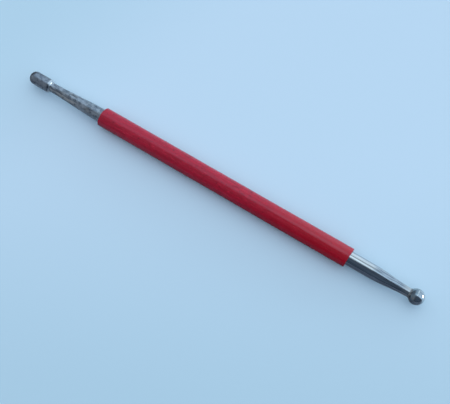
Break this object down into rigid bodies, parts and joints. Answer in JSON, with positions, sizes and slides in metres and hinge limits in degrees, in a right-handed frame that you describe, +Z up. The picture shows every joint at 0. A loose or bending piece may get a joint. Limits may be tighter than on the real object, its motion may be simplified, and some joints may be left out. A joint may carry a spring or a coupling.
{
  "type": "embossing stylus",
  "caption": "Double-ended embossing stylus: a steel rod with a ball at one end and a round-nosed cylindrical head at the other, gripped by a red plastic sleeve.",
  "frame": {"origin": "on the surface that the tool lies on, under the middle of the tool's whole length", "axes": "+X along the tool from the round-nosed head to the ball, +Z up"},
  "size_m": [0.1568, 0.007, 0.007],
  "materials": {
    "rod_steel": "drawn and ground, with fine lengthwise lines",
    "ball_steel": "polished, a little scuffed",
    "head_steel": "worn and a little mottled",
    "braze": "dull silver braze with a brownish tint",
    "red_plastic": "smooth semi-gloss, with faint lengthwise streaks"
  },
  "bodies": {
    "root": {"core_rod": "rod_steel", "ball_tip": "ball_steel", "ball_braze": "braze", "round_nose_head": "head_steel", "head_braze": "braze", "grip_sleeve": "red_plastic"}
  },
  "joints": []
}
